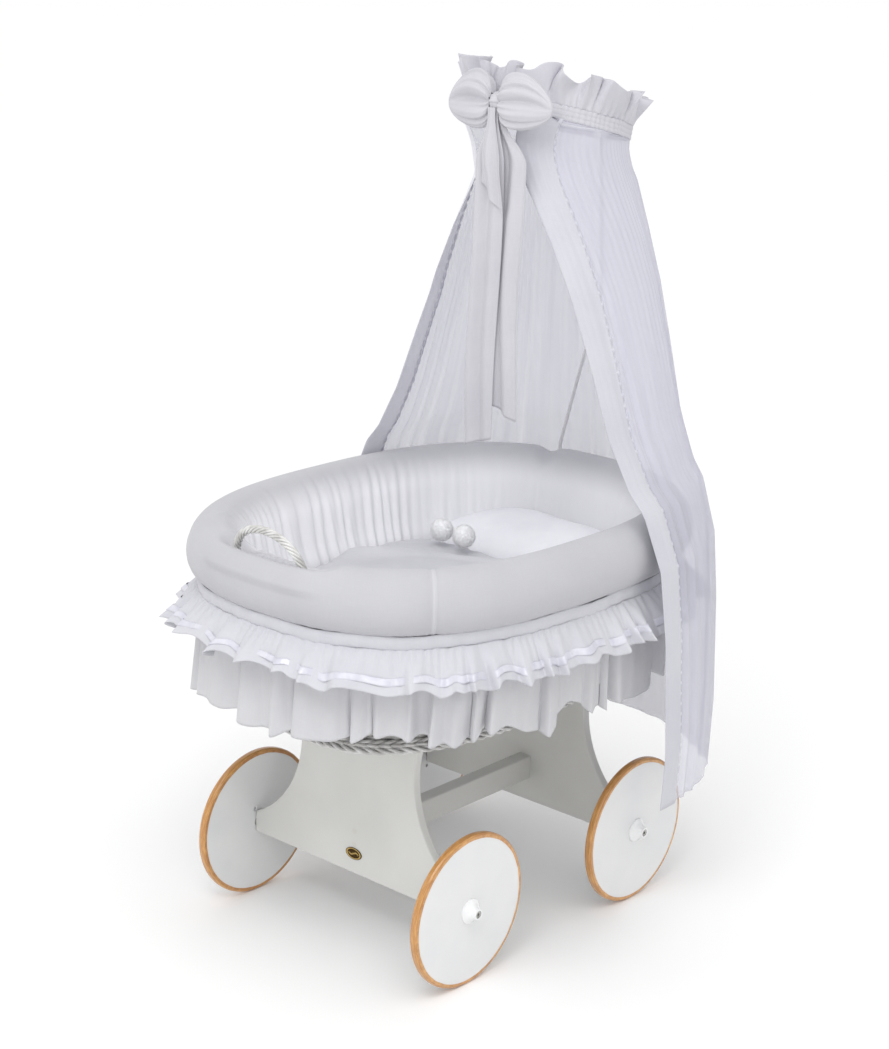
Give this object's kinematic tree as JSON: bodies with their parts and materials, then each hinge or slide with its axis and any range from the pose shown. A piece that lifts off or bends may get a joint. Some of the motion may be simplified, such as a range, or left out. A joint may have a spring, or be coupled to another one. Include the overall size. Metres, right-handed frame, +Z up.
{
  "type": "bassinet on stand",
  "caption": "Wheeled oval wicker bassinet with padded linen, frilled skirt and a tall crown canopy on a wooden stand with disc wheels",
  "frame": {"origin": "on the floor under the middle of the whole object", "axes": "+Z up, +Y towards the head end, +X to the right seen from the foot end"},
  "size_m": [0.8121, 1.058, 1.5753],
  "materials": {
    "panel_paint": "warm white satin lacquer on board",
    "wheel_wood": "white lacquered faces with a varnished beech edge",
    "hub_white": "white gloss lacquer",
    "steel": "zinc plated steel",
    "nylon": "natural nylon",
    "brass": "aged brass",
    "wicker": "white painted willow",
    "cotton": "light grey-white cotton",
    "cotton_white": "white cotton",
    "satin": "white satin ribbon",
    "sheer": "sheer lavender-white voile",
    "foam": "mattress ticking over foam",
    "fluff": "white fluffy yarn",
    "wire": "grey painted wire"
  },
  "bodies": {
    "stand": {"foot_panel": "panel_paint", "head_panel": "panel_paint", "rail": "panel_paint", "rail_screws": "steel", "screw_plugs": "panel_paint", "badge": "brass", "axle_screws": "steel", "axle_washers": "nylon"},
    "basket": {"wicker_base": "wicker", "wicker_foot_border": "wicker", "wicker_wall": "wicker", "wicker_rim": "wicker", "handle": "wicker", "base_battens": "panel_paint", "rod_socket": "steel", "socket_bolts": "steel", "bumper_roll": "cotton", "inner_lining": "cotton", "binding_band": "cotton", "ruffle": "cotton_white", "ruffle_ribbon": "satin", "skirt": "cotton_white", "mattress": "foam", "duvet": "cotton_white", "pillow": "cotton_white", "pompoms": "fluff"},
    "canopy": {"canopy_ring": "wire", "canopy_rod": "wire", "ring_connector": "nylon", "crown_band": "cotton_white", "crown_ruffle": "cotton_white", "curtain": "sheer", "curtain_border_right": "cotton_white", "curtain_border_left": "cotton_white", "bow_knot": "cotton_white", "bow_loops": "cotton_white", "bow_tails": "cotton_white"},
    "wheel_foot_right": {"wheel_foot_right": "wheel_wood", "hub_cap_foot_right": "hub_white", "wheel_bush_foot_right": "nylon"},
    "wheel_foot_left": {"wheel_foot_left": "wheel_wood", "hub_cap_foot_left": "hub_white", "wheel_bush_foot_left": "nylon"},
    "wheel_head_right": {"wheel_head_right": "wheel_wood", "hub_cap_head_right": "hub_white", "wheel_bush_head_right": "nylon"},
    "wheel_head_left": {"wheel_head_left": "wheel_wood", "hub_cap_head_left": "hub_white", "wheel_bush_head_left": "nylon"}
  },
  "joints": [
    {"name": "roll_foot_right", "type": "hinge", "parent": "stand", "child": "wheel_foot_right", "pos_m": [0.2605, -0.224, 0.14], "axis": [1, 0, 0], "continuous": true},
    {"name": "roll_foot_left", "type": "hinge", "parent": "stand", "child": "wheel_foot_left", "pos_m": [-0.2605, -0.224, 0.14], "axis": [1, 0, 0], "continuous": true},
    {"name": "roll_head_right", "type": "hinge", "parent": "stand", "child": "wheel_head_right", "pos_m": [0.2605, 0.252, 0.14], "axis": [1, 0, 0], "continuous": true},
    {"name": "roll_head_left", "type": "hinge", "parent": "stand", "child": "wheel_head_left", "pos_m": [-0.2605, 0.252, 0.14], "axis": [1, 0, 0], "continuous": true},
    {"name": "basket_lift", "type": "slide", "parent": "stand", "child": "basket", "axis": [0, 0, 1], "range_m": [0, 0.25]},
    {"name": "canopy_pull_out", "type": "slide", "parent": "basket", "child": "canopy", "axis": [0, 0, 1], "range_m": [0, 0.12]}
  ]
}
